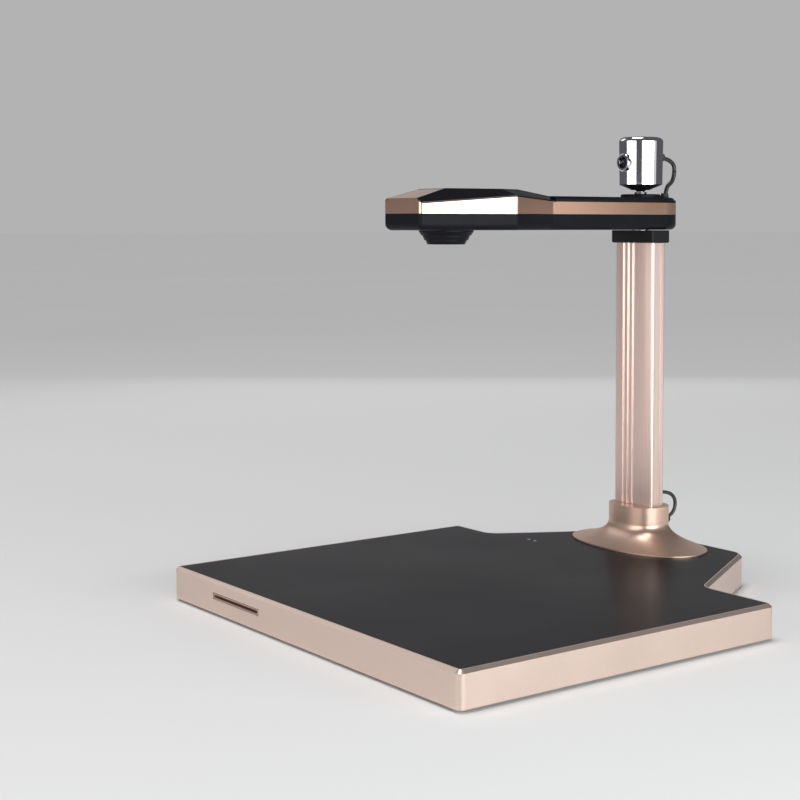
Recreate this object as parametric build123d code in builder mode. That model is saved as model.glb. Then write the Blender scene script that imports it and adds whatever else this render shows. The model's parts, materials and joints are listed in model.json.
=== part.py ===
"""Document camera: flat document bed with a card slot, aluminium column, swivelling camera arm
with a lens looking down on the bed, and a small second camera on a pan-and-tilt ball on top.

Millimetres.  +X to the user's right, +Y to the back (column side), +Z up.  Each piece is drawn from
one zero point and saved from another: in the saved files the origin is under the middle of the
footprint, on the surface the feet stand on."""
import math
import os

from build123d import *

os.makedirs("parts", exist_ok=True)

# ---- document bed
BED_W = 319.0            # bed, left to right
BED_D = 240.6            # bed, front to back
TAIL_D = 96.2            # trapezoid tail behind the bed, which carries the column
TAIL_X = -9.2            # middle of the tail
TAIL_HALF = 111.4        # half width of the tail where it leaves the bed
TAIL_SLOPE = 59.5        # slope of the tail's sides, degrees
FOOT_H = 1.8             # rubber feet
BED_TOP = 23.0           # top rim of the bed above the table
WALL = 2.8
BEVEL = 2.0              # bevel round the top rim
WEB_LOW = 17.9           # underside of the web below the deck panel
WEB_TOP = 20.3
DECK_TOP = 22.9          # face of the black deck panel
FOOT_SEAT = DECK_TOP - 0.2   # shallow seat in the panel for the column's foot
PLATE_TOP = 3.7          # bottom plate, upper face
MIDDLE_Y = -2.7          # middle of the footprint, measured from the drawing's zero
FRONT = MIDDLE_Y - (BED_D + TAIL_D) / 2
BACK = MIDDLE_Y + (BED_D + TAIL_D) / 2
BED_BACK = FRONT + BED_D
TAIL_RUN = TAIL_D / math.tan(math.radians(TAIL_SLOPE))

# ---- column
COL_X = -25.0            # column axis
COL_Y = 131.0
COL_W = 37.0
COL_FRONT = COL_Y - 6.65
COL_FALL = 1.2           # how far the front face curves back towards its right edge
COL_SPLIT = COL_Y + 2.15   # joint between the extrusion and its back cover
COL_BACK = COL_Y + 6.65
COL_LOW = 30.0
COL_TOP = 240.0
RIM_HALF_X = 58.5        # oval rim of the column's foot
RIM_HALF_Y = 33.0
RIM_POWER = 2.25         # 2 is an ellipse, more is squarer
RIM_EDGE = 0.9           # thickness of the rim
FLARE_H = 16.5           # height of the hollow curve between rim and collar
COLLAR_HALF_X = 23.0
COLLAR_HALF_Y = 16.6
COLLAR_TOP = 52.0
CAP_TOP = 248.9

# ---- arm
ARM_LOW = 249.3
SEAM = 260.0             # joint between the black lower shell and the champagne frame
BAND_TOP = 268.3
ARM_TOP = 272.0
CREST = 276.2            # top of the head
INLAY = 0.8              # thickness of the black top over the head
CROWN_END = 34.0         # where the head's crown runs out into the arm
ARM_HALF = 20.5
ARM_REAR = COL_Y + 6.5   # centre of the round rear end
HEAD_FRONT = -77.0
HEAD_FRONT_HALF = 20.3
HEAD_WIDE_Y = -4.0
HEAD_WIDE_HALF = 27.0
NECK_Y = 31.0
LENS_Y = -42.0

# ---- second camera
POD_R = 16.0
POD_LOW = 281.3
POD_TOP = 314.9
BALL_Z = 282.0
BALL_R = 6.0
POD_LENS_Z = 296.8

BED_SCREWS = [(-152, -134), (0, -155), (152, -134), (-152, -49), (152, -49),
              (-152, 36), (152, 36), (84, 60), (-102, 60), (-52, 153)]
FOOT_SPOTS = [(-148, -153), (148, -153), (-148, 55), (148, 55), (-62, 134), (34, 143)]
FLARE_SCREWS = [(COL_X + sx * 15, COL_Y + sy * 11.3) for sx in (-1, 1) for sy in (-1, 1)]
BOARD_SPOTS = [(-35, 8), (55, 8), (-35, 52), (55, 52)]
ARM_SCREWS = [(COL_X - 11, -64), (COL_X + 11, -64), (COL_X - 14, 20), (COL_X + 14, 20),
              (COL_X - 13, 100), (COL_X + 13, 100)]


def save(part, name):
    """Label one finished piece, bring the footprint's middle to the origin and write it out."""
    part = part.moved(Location((0, -MIDDLE_Y, 0)))
    part.label = name
    export_step(part, f"parts/{name}.step")


def near(points, x, y):
    """Sketch corner closest to a place."""
    return points.sort_by_distance(Vertex(x, y, 0))[0]


def bed_outline(inset=0.0):
    """Bed rectangle with its tail, corners rounded, drawn in the open sketch."""
    right, left = TAIL_X + TAIL_HALF, TAIL_X - TAIL_HALF
    with BuildLine() as outline:
        Polyline((-BED_W / 2, FRONT), (BED_W / 2, FRONT), (BED_W / 2, BED_BACK), (right, BED_BACK),
                 (right - TAIL_RUN, BACK), (left + TAIL_RUN, BACK), (left, BED_BACK),
                 (-BED_W / 2, BED_BACK), close=True)
    make_face(outline.line)
    for x, y, radius in ((-BED_W / 2, FRONT, 4), (BED_W / 2, FRONT, 4), (BED_W / 2, BED_BACK, 4),
                         (-BED_W / 2, BED_BACK, 4), (right, BED_BACK, 12), (left, BED_BACK, 12),
                         (right - TAIL_RUN, BACK, 14), (left + TAIL_RUN, BACK, 14)):
        fillet(near(vertices(), x, y), radius)
    if inset:
        offset(amount=-inset, kind=Kind.ARC)


def oval(half_x, half_y, power, count=40):
    """Closed smooth rounded-oval outline about the column axis, drawn in the open sketch."""
    points = []
    for i in range(count):
        angle = 2 * math.pi * i / count
        c, s = math.cos(angle), math.sin(angle)
        points.append((COL_X + half_x * math.copysign(abs(c) ** (2 / power), c),
                       COL_Y + half_y * math.copysign(abs(s) ** (2 / power), s)))
    with BuildLine() as outline:
        Spline(*points, periodic=True)
    make_face(outline.line)


def arm_outline(inset=0.0):
    """Plan of the arm: faceted head, waist and round rear end, drawn in the open sketch."""
    with BuildLine() as outline:
        right = Polyline((COL_X + HEAD_FRONT_HALF, HEAD_FRONT), (COL_X + HEAD_WIDE_HALF, HEAD_WIDE_Y),
                         (COL_X + ARM_HALF, NECK_Y), (COL_X + ARM_HALF, ARM_REAR))
        ThreePointArc(right @ 1, (COL_X, ARM_REAR + ARM_HALF), (COL_X - ARM_HALF, ARM_REAR))
        Polyline((COL_X - ARM_HALF, ARM_REAR), (COL_X - ARM_HALF, NECK_Y),
                 (COL_X - HEAD_WIDE_HALF, HEAD_WIDE_Y), (COL_X - HEAD_FRONT_HALF, HEAD_FRONT),
                 (COL_X + HEAD_FRONT_HALF, HEAD_FRONT))
    make_face(outline.line)
    for side in (-1, 1):
        fillet(near(vertices(), COL_X + side * HEAD_FRONT_HALF, HEAD_FRONT), 2.5)
        fillet(near(vertices(), COL_X + side * HEAD_WIDE_HALF, HEAD_WIDE_Y), 6)
        fillet(near(vertices(), COL_X + side * ARM_HALF, NECK_Y), 10)
    if inset:
        offset(amount=-inset, kind=Kind.ARC)


def crown_planes(lift=0.0):
    """Cutting planes of the faceted crown of the head (sides, waist, crest, back), raised by lift."""
    planes = [Plane(origin=(COL_X, 0, CREST - INLAY + lift), z_dir=(0, 0, 1))]
    for side in (-1, 1):
        for low_a, low_b, high in (
                ((HEAD_FRONT_HALF, HEAD_FRONT, 266.0), (HEAD_WIDE_HALF, HEAD_WIDE_Y, 271.0),
                 (17.5, -30, CREST - INLAY)),
                ((HEAD_WIDE_HALF, HEAD_WIDE_Y, 271.0), (ARM_HALF, NECK_Y, 268.4),
                 (16, 0, CREST - INLAY))):
            a, b, c = [Vector(COL_X + side * x, y, z) for x, y, z in (low_a, low_b, high)]
            normal = (b - a).cross(c - a).normalized()
            if normal.Z < 0:
                normal = normal * -1
            planes.append(Plane(origin=a + normal * lift, z_dir=normal))
    back = Vector(0, CREST - ARM_TOP, CROWN_END - 6).normalized()
    planes.append(Plane(origin=Vector(COL_X, 6, CREST - INLAY) + back * lift, z_dir=back))
    return planes


def crown(lift=0.0):
    """Faceted block of the head, drawn in the open part."""
    with BuildSketch(Plane.XY.offset(SEAM)) as plan:
        arm_outline()
        with Locations((COL_X, CROWN_END + 100)):
            Rectangle(90, 200, mode=Mode.SUBTRACT)
    extrude(plan.sketch, amount=CREST - SEAM + 2)
    for plane in crown_planes(lift):
        split(bisect_by=plane, keep=Keep.BOTTOM)
    slope = Vector(0, 269.8 - CREST, -53 - HEAD_FRONT).normalized()
    split(bisect_by=Plane(origin=(COL_X, HEAD_FRONT, 269.8), z_dir=slope), keep=Keep.BOTTOM)


# ============================================================ document bed

with BuildPart() as bed_shell:
    # inverted tray: bevelled rim, side walls, and a web that backs the deck panel
    with BuildSketch(Plane.XY.offset(FOOT_H)):
        bed_outline()
    extrude(amount=BED_TOP - FOOT_H)
    chamfer(faces().sort_by(Axis.Z)[-1].edges(), BEVEL)
    with BuildSketch(Plane.XY.offset(WEB_TOP)):
        bed_outline(WALL - 0.1)
    extrude(amount=BED_TOP - WEB_TOP + 1, mode=Mode.SUBTRACT)
    with BuildSketch(Plane.XY.offset(FOOT_H - 1)):
        bed_outline(WALL)
    extrude(amount=WEB_LOW - FOOT_H + 1, mode=Mode.SUBTRACT)
    # screw posts for the bottom plate
    with BuildSketch(Plane.XY.offset(PLATE_TOP)):
        with Locations(*BED_SCREWS):
            Circle(4)
    extrude(amount=WEB_LOW - PLATE_TOP + 0.2)
    # posts for the main board
    with BuildSketch(Plane.XY.offset(12.6)):
        with Locations(*BOARD_SPOTS):
            Circle(3)
    extrude(amount=WEB_LOW - 12.6 + 0.2)
    # stiffening ribs across the web
    with BuildSketch(Plane.XY.offset(14.5)):
        with Locations((0, -100), (0, -49), (0, -14)):
            Rectangle(BED_W - 2 * WALL, 2)
    extrude(amount=WEB_LOW - 14.5 + 0.2)
    # room for the card reader, then the card slot in the front wall
    with BuildSketch(Plane.XY.offset(5)):
        with Locations((-76, -131.7)):
            Rectangle(64, 72)
    extrude(amount=WEB_LOW - 5 - 0.001, mode=Mode.SUBTRACT)
    with BuildSketch(Plane.XZ.offset(-FRONT - WALL - 2)):
        with Locations((-76, 13)):
            Rectangle(58.4, 4.4)
    extrude(amount=WALL + 4, mode=Mode.SUBTRACT)
    # port opening in the rear wall
    with BuildSketch(Plane.XZ.offset(-BACK - 2)):
        with Locations((15, 10)):
            RectangleRounded(15.4, 12.2, 1)
    extrude(amount=8, mode=Mode.SUBTRACT)
    # holes: bottom screws, board screws, column screws, cable way, indicator lights
    with Locations(*[(x, y, PLATE_TOP - 0.1) for x, y in BED_SCREWS]):
        Cylinder(1.25, 10, align=(Align.CENTER, Align.CENTER, Align.MIN), mode=Mode.SUBTRACT)
    with Locations(*[(x, y, 12.5) for x, y in BOARD_SPOTS]):
        Cylinder(1.05, 5, align=(Align.CENTER, Align.CENTER, Align.MIN), mode=Mode.SUBTRACT)
    with Locations(*[(x, y, WEB_LOW) for x, y in FLARE_SCREWS]):
        Cylinder(1.9, 10, mode=Mode.SUBTRACT)
    with Locations((COL_X, COL_Y, WEB_LOW)):
        Cylinder(6, 10, mode=Mode.SUBTRACT)
    with Locations((-84, 77, WEB_LOW), (-77, 77, WEB_LOW)):
        Cylinder(1.3, 10, mode=Mode.SUBTRACT)
save(bed_shell.part, "bed_shell")

with BuildPart() as deck_panel:
    # flush black panel that the sheet lies on
    with BuildSketch(Plane.XY.offset(WEB_TOP)):
        bed_outline(WALL + 0.05)
    extrude(amount=DECK_TOP - WEB_TOP)
    chamfer(faces().sort_by(Axis.Z)[-1].edges(), 0.3)
    with Locations(*[(x, y, DECK_TOP) for x, y in FLARE_SCREWS]):
        Cylinder(1.9, 8, mode=Mode.SUBTRACT)
    with Locations((COL_X, COL_Y, DECK_TOP)):
        Cylinder(6, 8, mode=Mode.SUBTRACT)
    with Locations((-84, 77, DECK_TOP), (-77, 77, DECK_TOP)):
        Cylinder(1.3, 8, mode=Mode.SUBTRACT)
    # shallow seat for the column's foot
    with BuildSketch(Plane.XY.offset(FOOT_SEAT)):
        oval(RIM_HALF_X + 0.15, RIM_HALF_Y + 0.15, RIM_POWER)
    extrude(amount=3, mode=Mode.SUBTRACT)
save(deck_panel.part, "deck_panel")

with BuildPart() as bottom_plate:
    with BuildSketch(Plane.XY.offset(FOOT_H)):
        bed_outline(WALL + 0.25)
        with Locations(*BED_SCREWS):
            Circle(1.6, mode=Mode.SUBTRACT)
        # cooling slots below the main board
        with GridLocations(9, 0, 8, 1):
            with Locations((10, 30)):
                SlotOverall(26, 2.6, rotation=90, mode=Mode.SUBTRACT)
    extrude(amount=PLATE_TOP - FOOT_H)
save(bottom_plate.part, "bottom_plate")

with BuildPart() as bottom_screws:
    for x, y in BED_SCREWS:
        with Locations((x, y, FOOT_H)):
            Cylinder(2.7, 1.3, align=(Align.CENTER, Align.CENTER, Align.MAX))
            Cylinder(1.2, 8, align=(Align.CENTER, Align.CENTER, Align.MIN))
        with Locations((x, y, FOOT_H - 1.3)):
            Box(3.2, 0.6, 1.2, mode=Mode.SUBTRACT)
            Box(0.6, 3.2, 1.2, mode=Mode.SUBTRACT)
save(bottom_screws.part, "bottom_screws")

with BuildPart() as rubber_feet:
    with Locations(*[(x, y, 0) for x, y in FOOT_SPOTS]):
        Cone(6.4, 7, 0.7, align=(Align.CENTER, Align.CENTER, Align.MIN))
    with Locations(*[(x, y, 0.7) for x, y in FOOT_SPOTS]):
        Cylinder(7, FOOT_H - 0.7, align=(Align.CENTER, Align.CENTER, Align.MIN))
save(rubber_feet.part, "rubber_feet")

with BuildPart() as ballast_plate:
    # steel weight under the column, so the long arm can't tip the bed
    with BuildSketch(Plane.XY.offset(14.4)):
        with Locations((COL_X, 118)):
            RectangleRounded(58, 56, 4)
        with Locations((COL_X, COL_Y)):
            Circle(6.5, mode=Mode.SUBTRACT)
        with Locations(*FLARE_SCREWS):
            Circle(1.9, mode=Mode.SUBTRACT)
    extrude(amount=WEB_LOW - 14.4)
save(ballast_plate.part, "ballast_plate")

with BuildPart() as main_board:
    with BuildSketch(Plane.XY.offset(11.0)):
        with Locations((10, 30)):
            Rectangle(100, 54)
        with Locations(*BOARD_SPOTS):
            Circle(1.2, mode=Mode.SUBTRACT)
    extrude(amount=1.6)
save(main_board.part, "main_board")

with BuildPart() as board_chips:
    for x, y, w, d, h in ((2, 32, 17, 17, 1.4), (32, 38, 10, 12, 1.6), (30, 18, 8, 8, 1.2),
                          (-22, 24, 12, 7, 2.4)):
        with Locations((x, y, 11.0)):
            Box(w, d, h, align=(Align.CENTER, Align.CENTER, Align.MAX))
save(board_chips.part, "board_chips")

with BuildPart() as board_screws:
    with Locations(*[(x, y, 11.0) for x, y in BOARD_SPOTS]):
        Cylinder(2, 1.2, align=(Align.CENTER, Align.CENTER, Align.MAX))
        Cylinder(1.0, 5, align=(Align.CENTER, Align.CENTER, Align.MIN))
save(board_screws.part, "board_screws")

with BuildPart() as card_slot_bezel:
    # dark liner of the card slot, flush in the front wall
    with BuildSketch(Plane.XZ.offset(-FRONT)):
        with Locations((-76, 13)):
            RectangleRounded(58, 4, 1.2)
            RectangleRounded(55.6, 1.9, 0.8, mode=Mode.SUBTRACT)
    extrude(amount=-(WALL + 1.8))
save(card_slot_bezel.part, "card_slot_bezel")

with BuildPart() as card_reader:
    with BuildSketch(Plane.XY.offset(7)):
        with Locations((-76, -132.2)):
            Rectangle(60, 66)
    extrude(amount=10.8)
    with BuildSketch(Plane.XZ.offset(162)):
        with Locations((-76, 13)):
            Rectangle(55, 1.4)
    extrude(amount=-60, mode=Mode.SUBTRACT)
save(card_reader.part, "card_reader")

with BuildPart() as reader_board:
    with BuildSketch(Plane.XY.offset(5.2)):
        with Locations((-76, -131.7)):
            Rectangle(58, 62)
    extrude(amount=1.6)
save(reader_board.part, "reader_board")

with BuildPart() as usb_board:
    with BuildSketch(Plane.XY.offset(16.1)):
        with Locations((15, 137.6)):
            Rectangle(20, 50)
    extrude(amount=1.6)
save(usb_board.part, "usb_board")

with BuildPart() as usb_socket:
    # square upstream socket, metal shell
    with BuildSketch(Plane.XZ.offset(-BACK + 1.5)):
        with Locations((15, 10.2)):
            RectangleRounded(12, 11, 1)
            RectangleRounded(9, 8, 0.6, mode=Mode.SUBTRACT)
    extrude(amount=16)
    with BuildSketch(Plane.XZ.offset(-BACK + 14.5)):
        with Locations((15, 10.2)):
            Rectangle(10, 9)
    extrude(amount=3)
save(usb_socket.part, "usb_socket")

with BuildPart() as usb_tongue:
    with BuildSketch(Plane.XZ.offset(-BACK + 7.5)):
        with Locations((15, 10.2)):
            Rectangle(5.6, 3.2)
    extrude(amount=7)
save(usb_tongue.part, "usb_tongue")

with BuildPart() as port_bezel:
    with BuildSketch(Plane.XZ.offset(-BACK)):
        with Locations((15, 10.1)):
            RectangleRounded(15, 12, 1)
            RectangleRounded(12.3, 11.3, 1.1, mode=Mode.SUBTRACT)
    extrude(amount=WALL)
save(port_bezel.part, "port_bezel")

with BuildPart() as indicator_lights:
    with Locations((-84, 77, DECK_TOP), (-77, 77, DECK_TOP)):
        Cylinder(1.2, 7, align=(Align.CENTER, Align.CENTER, Align.MAX))
save(indicator_lights.part, "indicator_lights")

# ============================================================ column

with BuildPart() as column_foot:
    # flared foot: thin oval rim rising in a hollow curve to an upright collar
    rim = DECK_TOP + 0.1
    with BuildSketch(Plane.XY.offset(rim)):
        oval(RIM_HALF_X, RIM_HALF_Y, RIM_POWER)
    extrude(amount=RIM_EDGE)
    for swell in (1, 0.86, 0.72, 0.58, 0.45, 0.33, 0.22, 0.12, 0.05, 0):
        height = 1 - swell ** 0.4
        with BuildSketch(Plane.XY.offset(rim + RIM_EDGE + FLARE_H * height)):
            oval(COLLAR_HALF_X + (RIM_HALF_X - COLLAR_HALF_X) * swell,
                 COLLAR_HALF_Y + (RIM_HALF_Y - COLLAR_HALF_Y) * swell,
                 2.6 + (RIM_POWER - 2.6) * swell)
    loft()
    collar_low = rim + RIM_EDGE + FLARE_H
    with BuildSketch(Plane.XY.offset(collar_low)):
        oval(COLLAR_HALF_X, COLLAR_HALF_Y, 2.6)
    extrude(amount=COLLAR_TOP - collar_low)
    # pad that bears on the seat in the panel
    with BuildSketch(Plane.XY.offset(FOOT_SEAT + 0.05)):
        oval(RIM_HALF_X - 12, RIM_HALF_Y - 8, RIM_POWER)
    extrude(amount=1)
    # socket for the column, cable way, screw holes
    with BuildSketch(Plane.XY.offset(COL_LOW)):
        with Locations((COL_X, COL_Y)):
            Rectangle(COL_W + 0.4, COL_BACK - COL_FRONT + 0.4)
    extrude(amount=40, mode=Mode.SUBTRACT)
    with Locations((COL_X, COL_Y, rim)):
        Cylinder(6, 20, mode=Mode.SUBTRACT)
    with Locations(*[(x, y, FOOT_SEAT - 1) for x, y in FLARE_SCREWS]):
        Cylinder(1.65, 14, align=(Align.CENTER, Align.CENTER, Align.MIN), mode=Mode.SUBTRACT)
    # way in for the lead at the back of the collar
    with BuildSketch(Plane.XZ.offset(-COL_BACK + 1)):
        with Locations((COL_X + 12, 41)):
            Circle(2.4)
    extrude(amount=-16, mode=Mode.SUBTRACT)
save(column_foot.part, "column_foot")

with BuildPart() as column_screws:
    for x, y in FLARE_SCREWS:
        with Locations((x, y, 14.4)):
            Cylinder(3.4, 2.2, align=(Align.CENTER, Align.CENTER, Align.MAX))
            Cylinder(1.6, 19, align=(Align.CENTER, Align.CENTER, Align.MIN))
        with Locations((x, y, 12.2)):
            Box(4, 0.8, 1.6, mode=Mode.SUBTRACT)
            Box(0.8, 4, 1.6, mode=Mode.SUBTRACT)
save(column_screws.part, "column_screws")

with BuildPart() as column_profile:
    # extruded front half with three flutes left of its middle
    with BuildSketch(Plane.XY.offset(COL_LOW)):
        with BuildLine() as outline:
            Polyline((COL_X, COL_FRONT), (COL_X - COL_W / 2, COL_FRONT), (COL_X - COL_W / 2, COL_SPLIT),
                     (COL_X + COL_W / 2, COL_SPLIT), (COL_X + COL_W / 2, COL_FRONT + COL_FALL))
            TangentArc((COL_X, COL_FRONT), (COL_X + COL_W / 2, COL_FRONT + COL_FALL), tangent=(1, 0))
        make_face(outline.line)
        fillet(near(vertices(), COL_X - COL_W / 2, COL_FRONT), 1.5)
        fillet(near(vertices(), COL_X + COL_W / 2, COL_FRONT + COL_FALL), 1.5)
        with Locations(*[(COL_X + x, COL_FRONT) for x in (-9.7, -4.9, -0.1)]):
            Circle(1.35, mode=Mode.SUBTRACT)
        with Locations((COL_X, (COL_FRONT + 2.9 + COL_SPLIT + 1) / 2)):
            Rectangle(COL_W - 3.6, COL_SPLIT + 1 - COL_FRONT - 2.9, mode=Mode.SUBTRACT)
    extrude(amount=COL_TOP - COL_LOW)
save(column_profile.part, "column_profile")

with BuildPart() as column_back_cover:
    # clip-on back cover that closes the cable channel
    with BuildSketch(Plane.XY.offset(COL_LOW)):
        with Locations((COL_X, (COL_SPLIT + 0.1 + COL_BACK) / 2)):
            Rectangle(COL_W, COL_BACK - COL_SPLIT - 0.1)
        for side in (-1, 1):
            fillet(near(vertices(), COL_X + side * COL_W / 2, COL_BACK), 1.2)
            chamfer(near(vertices(), COL_X + side * COL_W / 2, COL_SPLIT), 0.7)
        with Locations((COL_X, (COL_SPLIT + COL_BACK - 1.8) / 2)):
            Rectangle(COL_W - 3.6, COL_BACK - 1.8 - COL_SPLIT + 0.2, mode=Mode.SUBTRACT)
    extrude(amount=COL_TOP - COL_LOW)
    with BuildSketch(Plane.XZ.offset(-COL_BACK - 1)):
        with Locations((COL_X + 12, 61)):
            Circle(2.4)
    extrude(amount=5, mode=Mode.SUBTRACT)
save(column_back_cover.part, "column_back_cover")

with BuildPart() as lead_loop:
    # short lead from the column's channel round into the collar
    with BuildLine():
        FilletPolyline((COL_X + 12, COL_BACK - 1.5, 61), (COL_X + 12, COL_Y + 25, 61),
                       (COL_X + 12, COL_Y + 25, 41), (COL_X + 12, COL_BACK + 2, 41), radius=7.5)
    with BuildSketch(Plane(origin=(COL_X + 12, COL_BACK - 1.5, 61), z_dir=(0, 1, 0))):
        Circle(1.3)
    sweep()
save(lead_loop.part, "lead_loop")

with BuildPart() as lead_grommets:
    for z, back in ((61, COL_BACK), (41, COL_Y + 15.9)):
        with BuildSketch(Plane(origin=(COL_X + 12, back + 1.4, z), z_dir=(0, -1, 0))):
            Circle(3.0)
            Circle(1.36, mode=Mode.SUBTRACT)
        extrude(amount=1.2)
        with BuildSketch(Plane(origin=(COL_X + 12, back + 0.3, z), z_dir=(0, -1, 0))):
            Circle(2.3)
            Circle(1.36, mode=Mode.SUBTRACT)
        extrude(amount=1.6)
save(lead_grommets.part, "lead_grommets")

with BuildPart() as column_cap:
    # black block on top of the column, with two tongues down inside it
    with BuildSketch(Plane.XY.offset(COL_TOP)):
        with Locations((COL_X, COL_Y)):
            Rectangle(42.4, 17.2)
        fillet(vertices(), 1.2)
    extrude(amount=CAP_TOP - COL_TOP)
    chamfer(faces().sort_by(Axis.Z)[0].edges(), 0.8)
    with BuildSketch(Plane.XY.offset(COL_TOP)):
        with Locations((COL_X - 12, COL_Y + 0.5), (COL_X + 12, COL_Y + 0.5)):
            Rectangle(6, 7.4)
    extrude(amount=-12)
    with Locations((COL_X, COL_Y, CAP_TOP)):
        Cylinder(6.02, 40, mode=Mode.SUBTRACT)
    with Locations((COL_X, COL_Y, COL_TOP)):
        Cylinder(7.6, 4.4, mode=Mode.SUBTRACT)
save(column_cap.part, "column_cap")

with BuildPart() as pivot_post:
    # hollow steel post: the camera lead runs up through it
    with Locations((COL_X, COL_Y, COL_TOP)):
        Cylinder(7.5, 2, align=(Align.CENTER, Align.CENTER, Align.MIN))
        Cylinder(6.0, 19.3, align=(Align.CENTER, Align.CENTER, Align.MIN))
        Cylinder(3.2, 60, mode=Mode.SUBTRACT)
save(pivot_post.part, "pivot_post")

with BuildPart() as pivot_nut:
    with BuildSketch(Plane.XY.offset(256.4)):
        with Locations((COL_X, COL_Y)):
            RegularPolygon(8.6, 6)
            Circle(6.02, mode=Mode.SUBTRACT)
    extrude(amount=2.6)
save(pivot_nut.part, "pivot_nut")

# ============================================================ camera arm

with BuildPart() as arm_lower_shell:
    with BuildSketch(Plane.XY.offset(ARM_LOW)):
        arm_outline()
    extrude(amount=SEAM - ARM_LOW)
    fillet(faces().sort_by(Axis.Z)[0].edges(), 4.0)
    with BuildSketch(Plane.XY.offset(ARM_LOW + 2.2)):
        arm_outline(4.2)
    extrude(amount=SEAM, mode=Mode.SUBTRACT)
    with BuildSketch(Plane.XY.offset(ARM_LOW + 5.5)):
        arm_outline(1.8)
    extrude(amount=SEAM, mode=Mode.SUBTRACT)
    # hub for the pivot bush, and posts for the frame screws
    with BuildSketch(Plane.XY.offset(ARM_LOW + 1)):
        with Locations((COL_X, COL_Y)):
            Circle(11.5)
    extrude(amount=5.8)
    with BuildSketch(Plane.XY.offset(ARM_LOW + 1)):
        with Locations(*ARM_SCREWS):
            Circle(3)
    extrude(amount=SEAM - ARM_LOW - 1.2)
    with Locations((COL_X, COL_Y, ARM_LOW)):
        Cylinder(8.0, 40, mode=Mode.SUBTRACT)
    with Locations((COL_X, LENS_Y, ARM_LOW)):
        Cylinder(9.0, 12, mode=Mode.SUBTRACT)
    with Locations(*[(x, y, ARM_LOW) for x, y in ARM_SCREWS]):
        Cylinder(1.3, 40, mode=Mode.SUBTRACT)
        Cylinder(2.4, 3.0, mode=Mode.SUBTRACT)
save(arm_lower_shell.part, "arm_lower_shell")

with BuildPart() as crown_core:
    # body of the head under its black top, shared by the two pieces below
    crown()

with BuildPart() as arm_frame:
    # champagne side band; over the head it rises into a sloping front
    with BuildSketch(Plane.XY.offset(SEAM)):
        arm_outline()
        with Locations((COL_X, CROWN_END - 100)):
            Rectangle(90, 200, mode=Mode.SUBTRACT)
    extrude(amount=BAND_TOP - SEAM)
    add(crown_core.part)
    with BuildSketch(Plane.XY.offset(SEAM - 1)):
        arm_outline(2.2)
    extrude(amount=5.2, mode=Mode.SUBTRACT)
    with BuildSketch(Plane.XY.offset(SEAM)):
        with Locations((COL_X, -27)):
            RectangleRounded(26, 78, 4)
    extrude(amount=10.5, mode=Mode.SUBTRACT)
    # posts that take the screws
    with BuildSketch(Plane.XY.offset(SEAM)):
        with Locations(*ARM_SCREWS):
            Circle(3)
    extrude(amount=5)
    with Locations(*[(x, y, SEAM - 1) for x, y in ARM_SCREWS]):
        Cylinder(1.05, 5.5, align=(Align.CENTER, Align.CENTER, Align.MIN), mode=Mode.SUBTRACT)
    with Locations((COL_X, COL_Y, BAND_TOP)):
        Cylinder(4, 12, mode=Mode.SUBTRACT)
    with Locations((COL_X + 4, COL_Y + 20, BAND_TOP)):
        Cylinder(2.6, 12, mode=Mode.SUBTRACT)
save(arm_frame.part, "arm_frame")

with BuildPart() as crown_cover:
    # outer faces of the head's black top, used to shape the piece below
    crown(INLAY)

with BuildPart() as top_inlay:
    # gloss black top: flat over the arm, faceted over the head
    with BuildSketch(Plane.XY.offset(BAND_TOP)):
        arm_outline()
        with Locations((COL_X, CROWN_END - 100)):
            Rectangle(90, 200, mode=Mode.SUBTRACT)
    extrude(amount=ARM_TOP - BAND_TOP)
    chamfer(faces().sort_by(Axis.Z)[-1].edges().filter_by(
        lambda e: e.center().Y > CROWN_END + 1), 2.2)
    add(crown_cover.part)
    add(crown_core.part, mode=Mode.SUBTRACT)
    with Locations((COL_X, COL_Y, BAND_TOP)):
        Cylinder(4, 12, mode=Mode.SUBTRACT)
    with Locations((COL_X + 4, COL_Y + 20, BAND_TOP)):
        Cylinder(2.6, 12, mode=Mode.SUBTRACT)
save(top_inlay.part, "top_inlay")

with BuildPart() as arm_screws:
    for x, y in ARM_SCREWS:
        with Locations((x, y, ARM_LOW + 1.4)):
            Cylinder(2.2, 1.2, align=(Align.CENTER, Align.CENTER, Align.MAX))
        with Locations((x, y, ARM_LOW + 0.6)):
            Cylinder(1.0, 14, align=(Align.CENTER, Align.CENTER, Align.MIN))
        with Locations((x, y, ARM_LOW + 0.2)):
            Box(2.8, 0.5, 1.0, mode=Mode.SUBTRACT)
            Box(0.5, 2.8, 1.0, mode=Mode.SUBTRACT)
save(arm_screws.part, "arm_screws")

with BuildPart() as pivot_bush:
    with Locations((COL_X, COL_Y, ARM_LOW + 0.1)):
        Cylinder(7.95, 6.7, align=(Align.CENTER, Align.CENTER, Align.MIN))
        Cylinder(6.05, 30, mode=Mode.SUBTRACT)
save(pivot_bush.part, "pivot_bush")

with BuildPart() as lens_hood:
    # stepped rings round the lens, narrowing downward
    with BuildSketch(Plane.XZ.offset(-LENS_Y)):
        with BuildLine():
            Polyline((COL_X + 9.4, ARM_LOW), (COL_X + 17.8, ARM_LOW), (COL_X + 17.8, 248.4),
                     (COL_X + 16.0, 245.8), (COL_X + 15.2, 245.8), (COL_X + 15.2, 245.2),
                     (COL_X + 14.2, 242.8), (COL_X + 13.2, 242.8), (COL_X + 13.2, 242.2),
                     (COL_X + 12.2, 240.2), (COL_X + 11.4, 240.2), (COL_X + 9.4, 243.6),
                     close=True)
        make_face()
    revolve(axis=Axis((COL_X, LENS_Y, 0), (0, 0, 1)))
save(lens_hood.part, "lens_hood")

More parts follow.
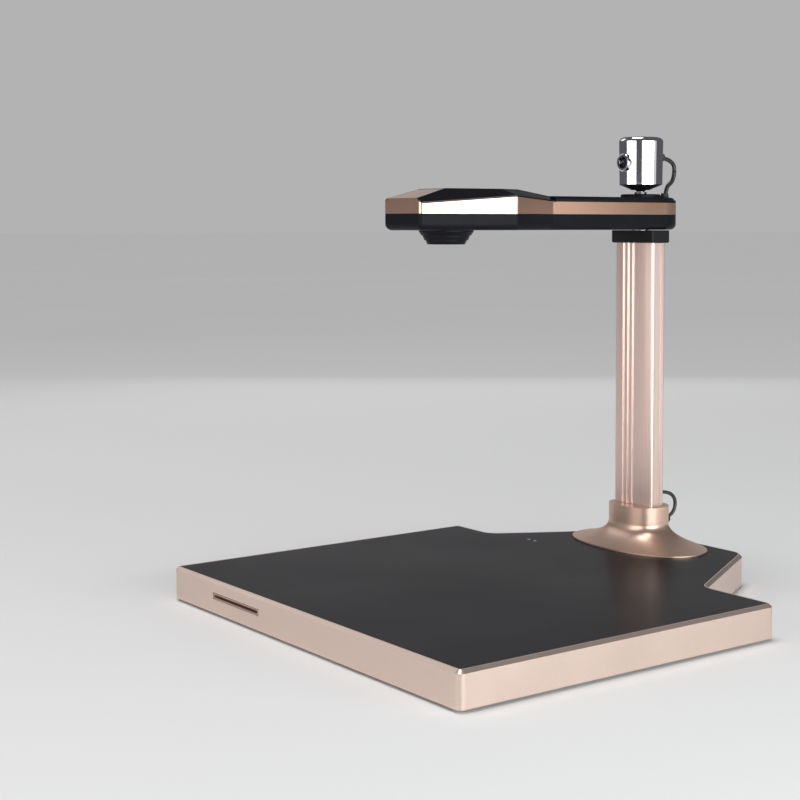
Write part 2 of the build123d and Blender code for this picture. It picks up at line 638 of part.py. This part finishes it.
with BuildPart() as lens_barrel:
    with Locations((COL_X, LENS_Y, 243.2)):
        Cylinder(8.6, 12.6, align=(Align.CENTER, Align.CENTER, Align.MIN))
        Cylinder(6.9, 4, mode=Mode.SUBTRACT)
    with BuildSketch(Plane.XY.offset(ARM_LOW + 3.5)):
        with Locations((COL_X, LENS_Y)):
            Rectangle(22, 22)
    extrude(amount=3.0)
save(lens_barrel.part, "lens_barrel")

with BuildPart() as lens_glass:
    with BuildSketch(Plane.XZ.offset(-LENS_Y)):
        with BuildLine():
            arc = ThreePointArc((COL_X, 243.4), (COL_X + 3.6, 243.8), (COL_X + 6.8, 245.0))
            Polyline(arc @ 1, (COL_X + 6.8, 245.15), (COL_X, 245.15), (COL_X, 243.4))
        make_face()
    revolve(axis=Axis((COL_X, LENS_Y, 0), (0, 0, 1)))
save(lens_glass.part, "lens_glass")

with BuildPart() as camera_board:
    with BuildSketch(Plane.XY.offset(255.9)):
        with Locations((COL_X, LENS_Y + 6)):
            Rectangle(30, 44)
        with Locations((COL_X, -64)):
            Rectangle(28, 8.6, mode=Mode.SUBTRACT)
    extrude(amount=1.2)
    with Locations((COL_X, LENS_Y, 257.1), (COL_X + 4, LENS_Y + 18, 257.1)):
        Box(9, 9, 1.4, align=(Align.CENTER, Align.CENTER, Align.MIN))
save(camera_board.part, "camera_board")

# ============================================================ second camera

with BuildPart() as pod_base:
    # black disc on the rear of the arm, bored for the stem
    with Locations((COL_X, COL_Y, ARM_TOP)):
        Cylinder(14.2, 2.5, align=(Align.CENTER, Align.CENTER, Align.MIN))
    chamfer(edges().group_by(Axis.Z)[-1], 0.6)
    with Locations((COL_X, COL_Y, ARM_TOP)):
        Cylinder(3.8, 5.0, align=(Align.CENTER, Align.CENTER, Align.MAX))
        Cylinder(2.55, 20, mode=Mode.SUBTRACT)
save(pod_base.part, "pod_base")

with BuildPart() as pod_stem:
    # turning stem with the ball on top
    with Locations((COL_X, COL_Y, ARM_TOP + 2.8)):
        Cylinder(4.4, 276.0 - ARM_TOP - 2.8, align=(Align.CENTER, Align.CENTER, Align.MIN))
    with Locations((COL_X, COL_Y, ARM_TOP - 5.4)):
        Cylinder(2.5, 9, align=(Align.CENTER, Align.CENTER, Align.MIN))
    with Locations((COL_X, COL_Y, 275.5)):
        Cylinder(2.8, 4, align=(Align.CENTER, Align.CENTER, Align.MIN))
    with Locations((COL_X, COL_Y, BALL_Z)):
        Sphere(BALL_R)
save(pod_stem.part, "pod_stem")

with BuildPart() as stem_clip:
    # snap ring under the disc that keeps the stem in
    with BuildSketch(Plane.XY.offset(ARM_TOP - 6.9)):
        with Locations((COL_X, COL_Y)):
            Circle(3.7)
    extrude(amount=1.4)
save(stem_clip.part, "stem_clip")

with BuildPart() as pod_socket:
    # shallow black cone under the barrel, cupped round the ball
    with BuildSketch(Plane.XZ.offset(-COL_Y)):
        with BuildLine():
            Polyline((COL_X, 277.6), (COL_X + 6.4, 277.6), (COL_X + 15.2, POD_LOW),
                     (COL_X + 15.2, POD_LOW + 0.1), (COL_X + 14.6, POD_LOW + 0.1),
                     (COL_X + 14.6, POD_LOW + 1.6), (COL_X + 9.5, POD_LOW + 1.6),
                     (COL_X + 9.5, 286.0), (COL_X, 286.0), close=True)
        make_face()
    revolve(axis=Axis((COL_X, COL_Y, 0), (0, 0, 1)))
    with Locations((COL_X, COL_Y, BALL_Z)):
        Sphere(BALL_R + 0.06, mode=Mode.SUBTRACT)
        Cylinder(3.5, 12, align=(Align.CENTER, Align.CENTER, Align.MIN), mode=Mode.SUBTRACT)
    with Locations((COL_X, COL_Y, 277.0)):
        Cone(5.2, 4.3, 1.3, align=(Align.CENTER, Align.CENTER, Align.MIN), mode=Mode.SUBTRACT)
save(pod_socket.part, "pod_socket")

with BuildPart() as pod_barrel:
    # bright drum, closed and rounded at the top
    with Locations((COL_X, COL_Y, POD_LOW + 0.1)):
        Cone(POD_R - 0.5, POD_R, POD_TOP - POD_LOW - 0.1,
             align=(Align.CENTER, Align.CENTER, Align.MIN))
    fillet(edges().group_by(Axis.Z)[-1], 3.2)
    with Locations((COL_X, COL_Y, POD_LOW)):
        Cylinder(14.7, POD_TOP - POD_LOW - 1.6, align=(Align.CENTER, Align.CENTER, Align.MIN),
                 mode=Mode.SUBTRACT)
    with BuildSketch(Plane.XZ.offset(-COL_Y)):
        with Locations((COL_X, POD_LENS_Z)):
            Circle(5.3)
    extrude(amount=20, mode=Mode.SUBTRACT)
    with BuildSketch(Plane.XZ.offset(-COL_Y)):
        with Locations((COL_X + 4, 301)):
            Circle(2.9)
    extrude(amount=-20, mode=Mode.SUBTRACT)
save(pod_barrel.part, "pod_barrel")

with BuildPart() as pod_core:
    # black carrier inside the drum
    with Locations((COL_X, COL_Y, 286.1)):
        Cylinder(14.5, 26, align=(Align.CENTER, Align.CENTER, Align.MIN))
    with BuildSketch(Plane.XZ.offset(-COL_Y + 6)):
        with Locations((COL_X, POD_LENS_Z)):
            Circle(5.2)
    extrude(amount=12, mode=Mode.SUBTRACT)
    with BuildSketch(Plane.XZ.offset(-COL_Y - 8)):
        with Locations((COL_X + 4, 301)):
            Circle(3.2)
    extrude(amount=-12, mode=Mode.SUBTRACT)
    with Locations((COL_X, COL_Y + 1, 300)):
        Box(22, 9, 16, mode=Mode.SUBTRACT)
    with Locations((COL_X, COL_Y, BALL_Z)):
        Sphere(BALL_R + 0.5, mode=Mode.SUBTRACT)
save(pod_core.part, "pod_core")

with BuildPart() as pod_board:
    with Locations((COL_X, COL_Y + 1, 300)):
        Box(20, 1.2, 14)
save(pod_board.part, "pod_board")

with BuildPart() as pod_lens_ring:
    with BuildSketch(Plane.XZ.offset(-COL_Y + 6.5)):
        with Locations((COL_X, POD_LENS_Z)):
            Circle(5.15)
            Circle(4.3, mode=Mode.SUBTRACT)
    extrude(amount=10.4)
    with BuildSketch(Plane.XZ.offset(-COL_Y + 16.1)):
        with Locations((COL_X, POD_LENS_Z)):
            Circle(6.3)
            Circle(4.3, mode=Mode.SUBTRACT)
    extrude(amount=1.7)
    fillet(edges().group_by(Axis.Y)[0].sort_by(SortBy.LENGTH)[-1], 0.8)
save(pod_lens_ring.part, "pod_lens_ring")

with BuildPart() as pod_lens:
    with BuildSketch(Plane.XZ.offset(-COL_Y + 8)):
        with Locations((COL_X, POD_LENS_Z)):
            Circle(4.25)
    extrude(amount=6)
    with BuildSketch(Plane.XZ.offset(-COL_Y + 14)):
        with Locations((COL_X, POD_LENS_Z)):
            Circle(3.4)
    extrude(amount=1.4, taper=30)
save(pod_lens.part, "pod_lens")

with BuildPart() as cable_grommet:
    # strain relief of the second camera's lead, on the rear of the arm
    with BuildSketch(Plane.XY.offset(BAND_TOP - 1)):
        with Locations((COL_X + 4, COL_Y + 20)):
            Circle(2.5)
            Circle(1.56, mode=Mode.SUBTRACT)
    extrude(amount=5.5)
    with BuildSketch(Plane.XY.offset(ARM_TOP + 0.1)):
        with Locations((COL_X + 4, COL_Y + 20)):
            Circle(3.1)
            Circle(1.56, mode=Mode.SUBTRACT)
    extrude(amount=3.4, taper=9)
save(cable_grommet.part, "cable_grommet")

with BuildPart() as barrel_grommet:
    with BuildSketch(Plane.XZ.offset(-COL_Y - 17.6)):
        with Locations((COL_X + 4, 301)):
            Circle(2.8)
            Circle(1.56, mode=Mode.SUBTRACT)
    extrude(amount=6)
save(barrel_grommet.part, "barrel_grommet")

with BuildPart() as pod_lead:
    # lead of the second camera: out of the drum, down behind it, into the arm
    with BuildLine():
        FilletPolyline((COL_X + 4, COL_Y + 9, 301), (COL_X + 4, COL_Y + 29.5, 301),
                       (COL_X + 4, COL_Y + 29.5, 284.5), (COL_X + 4, COL_Y + 20, 279.5),
                       (COL_X + 4, COL_Y + 20, 264), radius=(9, 5, 4))
    with BuildSketch(Plane(origin=(COL_X + 4, COL_Y + 9, 301), z_dir=(0, 1, 0))):
        Circle(1.5)
    sweep()
save(pod_lead.part, "pod_lead")
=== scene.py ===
"""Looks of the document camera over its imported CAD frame: a finish for every node, the two short
leads as smooth curves, the floor, the studio light and the camera."""

import json
import math

import bmesh
import bpy
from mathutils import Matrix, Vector


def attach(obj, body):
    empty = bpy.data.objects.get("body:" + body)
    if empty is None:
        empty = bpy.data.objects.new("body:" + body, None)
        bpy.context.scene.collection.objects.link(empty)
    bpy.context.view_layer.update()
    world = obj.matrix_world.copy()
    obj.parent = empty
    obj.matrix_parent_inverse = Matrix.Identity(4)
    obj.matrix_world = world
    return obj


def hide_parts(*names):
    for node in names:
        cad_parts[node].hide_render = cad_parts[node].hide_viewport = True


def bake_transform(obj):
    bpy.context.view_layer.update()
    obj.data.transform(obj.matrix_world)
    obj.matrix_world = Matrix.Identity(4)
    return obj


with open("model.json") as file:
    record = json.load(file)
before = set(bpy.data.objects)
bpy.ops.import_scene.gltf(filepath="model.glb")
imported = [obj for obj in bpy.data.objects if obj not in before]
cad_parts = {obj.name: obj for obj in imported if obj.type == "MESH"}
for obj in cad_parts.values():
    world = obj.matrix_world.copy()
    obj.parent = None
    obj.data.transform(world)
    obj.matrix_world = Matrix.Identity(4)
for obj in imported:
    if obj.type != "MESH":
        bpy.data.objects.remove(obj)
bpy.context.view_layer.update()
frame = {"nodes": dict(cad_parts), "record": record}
nodes = frame["nodes"]


# ---------------------------------------------------------------- sizes, in metres and degrees

COLUMN_LEAD_DIAMETER = 0.0026
POD_LEAD_RADIUS = 0.0015
POD_LEAD_SPLIT = 0.291  # height at which the upper stretch of the second camera's lead ends
EDGE_ANGLE = 32  # faces that meet at more than this keep a sharp edge
FLOOR_HALF = 40
LIGHTS_TARGET = (0, 0.02, 0.14)

# place, direction and lens fitted to the outline of the bed, column and arm in the photograph
CAMERA_PLACE = (0.8021, -0.6549, 0.2533)
CAMERA_DOWN = 3.459
CAMERA_HEADING = 52.44
CAMERA_LENS_MM = 71.386
CAMERA_SENSOR_MM = 36
CAMERA_SHIFT = (-0.089, -0.10)


# ---------------------------------------------------------------- material building blocks

def start_material(name):
    """New node material: its tree, its shader and object coordinates."""
    material = bpy.data.materials.new(name)
    material.use_nodes = True
    tree = material.node_tree
    shader = tree.nodes["Principled BSDF"]
    place = tree.nodes.new("ShaderNodeTexCoord")
    return material, tree, shader, place.outputs["Object"]


def noise(tree, place, scale, detail, stretch=(1, 1, 1)):
    """Noise over the object's own coordinates, stretched along an axis if asked."""
    mapping = tree.nodes.new("ShaderNodeMapping")
    mapping.inputs["Scale"].default_value = stretch
    texture = tree.nodes.new("ShaderNodeTexNoise")
    texture.inputs["Scale"].default_value = scale
    texture.inputs["Detail"].default_value = detail
    texture.inputs["Roughness"].default_value = 0.55
    tree.links.new(place, mapping.inputs["Vector"])
    tree.links.new(mapping.outputs["Vector"], texture.inputs["Vector"])
    return texture.outputs["Fac"]


def spread(tree, value, low, high, near=0.3, far=0.7):
    """Value mapped from near..far, by default the middle of a noise's range, to low..high."""
    node = tree.nodes.new("ShaderNodeMapRange")
    node.inputs["From Min"].default_value = near
    node.inputs["From Max"].default_value = far
    node.inputs["To Min"].default_value = low
    node.inputs["To Max"].default_value = high
    tree.links.new(value, node.inputs["Value"])
    return node.outputs["Result"]


def uneven_gloss(tree, shader, value, low, high):
    """Roughness that goes from low to high with a value."""
    tree.links.new(spread(tree, value, low, high), shader.inputs["Roughness"])


def tint(tree, shader, value, colour, change):
    """Base colour that drifts a little between two close tones."""
    ramp = tree.nodes.new("ShaderNodeValToRGB")
    ramp.color_ramp.elements[0].position = 0.3
    ramp.color_ramp.elements[1].position = 0.7
    ramp.color_ramp.elements[0].color = [c * (1 - change) for c in colour] + [1]
    ramp.color_ramp.elements[1].color = [min(c * (1 + change), 1) for c in colour] + [1]
    tree.links.new(value, ramp.inputs["Fac"])
    tree.links.new(ramp.outputs["Color"], shader.inputs["Base Color"])


def bump(tree, shader, value, strength, distance):
    """Small relief from a value."""
    node = tree.nodes.new("ShaderNodeBump")
    node.inputs["Strength"].default_value = strength
    node.inputs["Distance"].default_value = distance
    tree.links.new(value, node.inputs["Height"])
    tree.links.new(node.outputs["Normal"], shader.inputs["Normal"])


def painted_metal(name, colour, roughness, flake=0.06, coat=0.15):
    """Metallic paint: fine flake in its colour, a slow drift in its gloss and a thin coat."""
    material, tree, shader, place = start_material(name)
    flakes = noise(tree, place, scale=2600, detail=2)
    drift = noise(tree, place, scale=22, detail=3)
    tint(tree, shader, flakes, colour, change=flake)
    uneven_gloss(tree, shader, drift, roughness - 0.03, roughness + 0.03)
    bump(tree, shader, flakes, strength=0.12, distance=0.00002)
    shader.inputs["Metallic"].default_value = 0.88
    shader.inputs["Coat Weight"].default_value = coat
    shader.inputs["Coat Roughness"].default_value = 0.22
    return material


def drawn_aluminium(name, colour, roughness):
    """Anodised extrusion: faint lines along its length, drawn by the die."""
    material, tree, shader, place = start_material(name)
    lines = noise(tree, place, scale=900, detail=2, stretch=(1, 1, 0.004))
    tint(tree, shader, lines, colour, change=0.05)
    uneven_gloss(tree, shader, lines, roughness - 0.05, roughness + 0.05)
    bump(tree, shader, lines, strength=0.10, distance=0.00002)
    shader.inputs["Metallic"].default_value = 0.95
    return material


def plain_metal(name, colour, roughness, scratch=0.05):
    """Plated or turned metal with fine marks."""
    material, tree, shader, place = start_material(name)
    marks = noise(tree, place, scale=420, detail=4, stretch=(1, 1, 0.25))
    tint(tree, shader, marks, colour, change=0.03)
    uneven_gloss(tree, shader, marks, max(roughness - scratch, 0.02), roughness + scratch)
    bump(tree, shader, marks, strength=0.05, distance=0.00001)
    shader.inputs["Metallic"].default_value = 1.0
    return material


def moulded_plastic(name, colour, roughness, grain=1500, depth=0.3, coat=0.0, shine=0.5):
    """Moulded plastic: spark-eroded grain and a slightly uneven gloss."""
    material, tree, shader, place = start_material(name)
    texture = noise(tree, place, scale=grain, detail=3)
    drift = noise(tree, place, scale=30, detail=3)
    tint(tree, shader, drift, colour, change=0.08)
    uneven_gloss(tree, shader, drift, roughness - 0.04, roughness + 0.04)
    bump(tree, shader, texture, strength=depth, distance=0.00003)
    shader.inputs["Specular IOR Level"].default_value = shine
    shader.inputs["Coat Weight"].default_value = coat
    shader.inputs["Coat Roughness"].default_value = 0.05
    return material


def rubber(name, colour, roughness):
    """Soft rubber with a slightly dusty surface."""
    material, tree, shader, place = start_material(name)
    texture = noise(tree, place, scale=700, detail=4)
    tint(tree, shader, texture, colour, change=0.15)
    uneven_gloss(tree, shader, texture, roughness - 0.06, roughness + 0.06)
    bump(tree, shader, texture, strength=0.25, distance=0.00004)
    return material


def coated_lens_and_painted_sheen(name, colour, roughness):
    """Dark coated lens: base colour that runs from near black face on, through the given colour,
    to violet at its edge by the angle it is seen at; the violet edge is painted sheen of the
    coating's reflection.
    """
    material, tree, shader, place = start_material(name)
    # painted sheen: colour chosen by viewing angle, violet towards the lens's edge
    layer = tree.nodes.new("ShaderNodeLayerWeight")
    layer.inputs["Blend"].default_value = 0.35
    ramp = tree.nodes.new("ShaderNodeValToRGB")
    ramp.color_ramp.elements[0].color = (0.010, 0.012, 0.030, 1)
    ramp.color_ramp.elements[1].color = (0.10, 0.03, 0.16, 1)
    middle = ramp.color_ramp.elements.new(0.5)
    middle.color = (*colour, 1)
    dust = noise(tree, place, scale=900, detail=3)
    tree.links.new(layer.outputs["Facing"], ramp.inputs["Fac"])
    tree.links.new(ramp.outputs["Color"], shader.inputs["Base Color"])
    uneven_gloss(tree, shader, dust, roughness, roughness + 0.03)
    shader.inputs["Coat Weight"].default_value = 1.0
    shader.inputs["Coat Roughness"].default_value = 0.02
    return material


def circuit_board(name):
    """Green solder mask over faint tracks."""
    material, tree, shader, place = start_material(name)
    tracks = tree.nodes.new("ShaderNodeTexVoronoi")
    tracks.feature = "DISTANCE_TO_EDGE"
    tracks.inputs["Scale"].default_value = 260
    tree.links.new(place, tracks.inputs["Vector"])
    lines = spread(tree, tracks.outputs["Distance"], low=1, high=0, near=0.02, far=0.06)
    tint(tree, shader, lines, (0.012, 0.10, 0.045), change=0.5)
    bump(tree, shader, lines, strength=0.3, distance=0.00003)
    shader.inputs["Roughness"].default_value = 0.35
    return material


def deck_material(name):
    """Black hard-coated panel: deep colour, fine even texture and only a faint reflection."""
    material, tree, shader, place = start_material(name)
    texture = noise(tree, place, scale=2200, detail=2)
    drift = noise(tree, place, scale=9, detail=3)
    tint(tree, shader, drift, (0.011, 0.011, 0.013), change=0.10)
    uneven_gloss(tree, shader, drift, 0.30, 0.36)
    bump(tree, shader, texture, strength=0.10, distance=0.00002)
    shader.inputs["Specular IOR Level"].default_value = 0.05
    return material


def lit_plastic(name, colour):
    """Smoked light pipe with a faint glow inside."""
    material, tree, shader, place = start_material(name)
    cloud = noise(tree, place, scale=800, detail=2)
    tint(tree, shader, cloud, colour, change=0.1)
    uneven_gloss(tree, shader, cloud, 0.18, 0.26)
    shader.inputs["Coat Weight"].default_value = 0.6
    shader.inputs["Emission Color"].default_value = (0.55, 0.75, 1.0, 1)
    shader.inputs["Emission Strength"].default_value = 0.08
    return material


# ---------------------------------------------------------------- finishes, one per record slot

finishes = {
    "champagne": painted_metal("champagne", (0.71, 0.56, 0.49), 0.34),
    "champagne_satin": painted_metal("champagne_satin", (0.71, 0.50, 0.40), 0.36,
                                     flake=0.05, coat=0.05),
    "champagne_aluminium": drawn_aluminium("champagne_aluminium", (0.77, 0.59, 0.53), 0.33),
    "champagne_gloss": painted_metal("champagne_gloss", (0.66, 0.41, 0.30), 0.17,
                                     flake=0.03, coat=0.05),
    "deck_black": deck_material("deck_black"),
    "dark_plate": painted_metal("dark_plate", (0.045, 0.045, 0.05), 0.55, flake=0.1, coat=0.0),
    "dark_steel": plain_metal("dark_steel", (0.09, 0.09, 0.10), 0.32),
    "bright_steel": plain_metal("bright_steel", (0.60, 0.60, 0.61), 0.24),
    "foot_rubber": rubber("foot_rubber", (0.035, 0.035, 0.036), 0.75),
    "circuit_board": circuit_board("circuit_board"),
    "chip_black": moulded_plastic("chip_black", (0.025, 0.025, 0.026), 0.5),
    "slot_brown": moulded_plastic("slot_brown", (0.30, 0.19, 0.15), 0.4, coat=0.2),
    "matte_black": moulded_plastic("matte_black", (0.009, 0.009, 0.010), 0.45, shine=0.15),
    "satin_black": moulded_plastic("satin_black", (0.009, 0.009, 0.012), 0.36, shine=0.06),
    "gloss_black": moulded_plastic("gloss_black", (0.008, 0.008, 0.010), 0.14,
                                   grain=400, depth=0.03, shine=0.2),
    "light_pipe": lit_plastic("light_pipe", (0.16, 0.19, 0.22)),
    "lead_grey": rubber("lead_grey", (0.035, 0.036, 0.038), 0.38),
    "lead_black": rubber("lead_black", (0.012, 0.012, 0.013), 0.42),
    "soft_black": rubber("soft_black", (0.022, 0.022, 0.022), 0.6),
    "bush_brass": plain_metal("bush_brass", (0.70, 0.50, 0.22), 0.3),
    "coated_glass": coated_lens_and_painted_sheen("coated_glass", (0.02, 0.05, 0.05), 0.03),
    "lens_black": coated_lens_and_painted_sheen("lens_black", (0.008, 0.010, 0.02), 0.05),
    "pod_chrome": plain_metal("pod_chrome", (0.86, 0.86, 0.88), 0.045, scratch=0.02),
}

slot_of = {part["node"]: part["material_slot"] for part in frame["record"]["subparts"]}
for node_name, node in nodes.items():
    node.data.materials.clear()
    node.data.materials.append(finishes[slot_of[node_name]])


# ---------------------------------------------------------------- pieces added to the frame

def finish_piece(piece, slot):
    """Give a new piece the finish of a record slot."""
    piece.data.materials.append(finishes[slot])


def new_mesh(name, build):
    """Object whose mesh is filled in by a bmesh function."""
    mesh = bpy.data.meshes.new(name)
    work = bmesh.new()
    build(work)
    bmesh.ops.recalc_face_normals(work, faces=work.faces)
    work.to_mesh(mesh)
    work.free()
    piece = bpy.data.objects.new(name, mesh)
    bpy.context.scene.collection.objects.link(piece)
    return piece


def lead_curve(name, points, diameter):
    """Round lead along one smooth curve through the given control points."""
    curve = bpy.data.curves.new(name, "CURVE")
    curve.dimensions = "3D"
    spline = curve.splines.new("NURBS")
    spline.points.add(len(points) - 1)
    for point, place in zip(spline.points, points):
        point.co = (*place, 1)
    spline.order_u = 3
    spline.use_endpoint_u = True
    spline.resolution_u = 12
    curve.bevel_depth = diameter / 2
    curve.bevel_resolution = 5
    piece = bpy.data.objects.new(name, curve)
    bpy.context.scene.collection.objects.link(piece)
    return piece


# short lead out of the column's back and down into the collar of its foot
column_route = [(-0.013, 0.13885, 0.061), (-0.013, 0.1587, 0.061),
                (-0.013, 0.1587, 0.041), (-0.013, 0.14235, 0.041)]
column_lead = lead_curve("column_lead", column_route, COLUMN_LEAD_DIAMETER)
finish_piece(column_lead, "lead_grey")
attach(column_lead, "bed")
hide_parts("lead_loop")


# ---------------------------------------------------------------- lead of the second camera

def tube(name, centre, radius, sides=20):
    """Round mesh tube along a list of points in a plane of constant x, its ends closed."""
    side_way = Vector((1, 0, 0))

    def build(work):
        rings = []
        for i, point in enumerate(centre):
            before, after = centre[max(i - 1, 0)], centre[min(i + 1, len(centre) - 1)]
            ahead = (after - before).normalized()
            up = ahead.cross(side_way).normalized()
            across = up.cross(ahead)
            ring = []
            for k in range(sides):
                turn = 2 * math.pi * k / sides
                outward = math.cos(turn) * across + math.sin(turn) * up
                ring.append(work.verts.new(point + radius * outward))
            rings.append(ring)
        for low, high in zip(rings, rings[1:]):
            for k in range(sides):
                after_k = (k + 1) % sides
                work.faces.new((low[k], low[after_k], high[after_k], high[k]))
        work.faces.new(rings[0][::-1])
        work.faces.new(rings[-1])

    piece = new_mesh(name, build)
    for face in piece.data.polygons:
        face.use_smooth = len(face.vertices) == 4
    return piece


# one curve from the drum's back into the arm, cut at one height into an upper and a lower piece
pod_route = [(-0.021, 0.1427, 0.301), (-0.021, 0.1632, 0.301), (-0.021, 0.1632, 0.2845),
             (-0.021, 0.1537, 0.2795), (-0.021, 0.1537, 0.264)]
guide = lead_curve("pod_lead_guide", pod_route, 0)
line = bpy.data.meshes.new_from_object(guide)
centre = [v.co.copy() for v in line.vertices]
bpy.data.objects.remove(guide)
middle = min(range(len(centre)), key=lambda i: abs(centre[i].z - POD_LEAD_SPLIT))

upper_lead = tube("pod_lead_upper", centre[:middle + 1], POD_LEAD_RADIUS)
finish_piece(upper_lead, "lead_black")
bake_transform(upper_lead)
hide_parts("pod_lead")

lower_lead = tube("pod_lead_lower", centre[middle:], POD_LEAD_RADIUS)
finish_piece(lower_lead, "lead_black")
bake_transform(lower_lead)


# ---------------------------------------------------------------- shading and edges

for node in nodes.values():
    for face in node.data.polygons:
        face.use_smooth = True
    split = node.modifiers.new("edge shading", "EDGE_SPLIT")
    split.split_angle = math.radians(EDGE_ANGLE)


# ---------------------------------------------------------------- lights

def add_light(name, data, aim):
    """Light object that shines along a direction."""
    light = bpy.data.objects.new(name, data)
    light.rotation_euler = Vector(aim).to_track_quat("-Z", "Y").to_euler()
    bpy.context.scene.collection.objects.link(light)
    return light


def softbox(name, place, width, height, watts, tone=(1, 1, 1)):
    """Rectangular softbox that faces the object and isn't seen itself."""
    data = bpy.data.lights.new(name, "AREA")
    data.shape = "RECTANGLE"
    data.size, data.size_y = width, height
    data.energy = watts
    data.color = tone
    light = add_light(name, data, Vector(LIGHTS_TARGET) - Vector(place))
    light.location = place
    light.visible_camera = False


def round_place(azimuth, distance, height):
    """Point at an azimuth about the object, in metres."""
    turn = math.radians(azimuth)
    return (distance * math.cos(turn), distance * math.sin(turn), height)


softbox("softbox_right", round_place(0, 1.3, 0.27), width=1.6, height=0.52, watts=19,
        tone=(0.96, 1, 1))
softbox("softbox_left", round_place(-94, 1.3, 0.32), width=1.35, height=0.52, watts=7.4,
        tone=(1, 0.955, 0.935))
softbox("softbox_side", round_place(39, 1.3, 0.30), width=0.30, height=0.50, watts=0.28)
softbox("softbox_high", round_place(-164, 1.5, 1.05), width=0.9, height=0.9, watts=2.4)
softbox("softbox_back", round_place(142, 1.5, 0.48), width=1.2, height=0.7, watts=1.0)

overhead_data = bpy.data.lights.new("overhead", "SUN")
overhead_data.energy = 1.5
overhead_data.angle = math.radians(32)
add_light("overhead", overhead_data, (0.10, 0.14, -1))


# the room beyond the floor: a dim grey lights the object, a paler one shows behind it
world = bpy.data.worlds.new("studio")
world.use_nodes = True
world_nodes, world_links = world.node_tree.nodes, world.node_tree.links
background = world_nodes["Background"]
background.inputs["Color"].default_value = (0.10, 0.10, 0.107, 1)
background.inputs["Strength"].default_value = 1.0
seen = world_nodes.new("ShaderNodeBackground")
seen.inputs["Color"].default_value = (0.45, 0.45, 0.455, 1)
rays = world_nodes.new("ShaderNodeLightPath")
either = world_nodes.new("ShaderNodeMixShader")
world_links.new(rays.outputs["Is Camera Ray"], either.inputs["Fac"])
world_links.new(background.outputs["Background"], either.inputs[1])
world_links.new(seen.outputs["Background"], either.inputs[2])
world_links.new(either.outputs["Shader"], world_nodes["World Output"].inputs["Surface"])
bpy.context.scene.world = world


# ---------------------------------------------------------------- floor and camera

def floor_plane(work):
    """Large level square under the object."""
    corners = ((-1, -1), (1, -1), (1, 1), (-1, 1))
    work.faces.new([work.verts.new((FLOOR_HALF * x, FLOOR_HALF * y, 0)) for x, y in corners])


floor = new_mesh("studio_floor", floor_plane)
floor_material, floor_tree, floor_shader, floor_place = start_material("studio_floor")
floor_drift = noise(floor_tree, floor_place, scale=1.5, detail=2)
tint(floor_tree, floor_shader, floor_drift, (0.80, 0.80, 0.80), change=0.01)
floor_shader.inputs["Roughness"].default_value = 0.9
floor.data.materials.append(floor_material)

bpy.context.scene.view_settings.view_transform = "Standard"

camera_data = bpy.data.cameras.new("camera")
camera_data.lens = CAMERA_LENS_MM
camera_data.sensor_width = CAMERA_SENSOR_MM
camera_data.shift_x, camera_data.shift_y = CAMERA_SHIFT
camera_data.clip_end = 50
camera = bpy.data.objects.new("camera", camera_data)
camera.location = CAMERA_PLACE
camera.rotation_euler = (math.radians(90 - CAMERA_DOWN), 0, math.radians(CAMERA_HEADING))
bpy.context.scene.collection.objects.link(camera)
bpy.context.scene.camera = camera
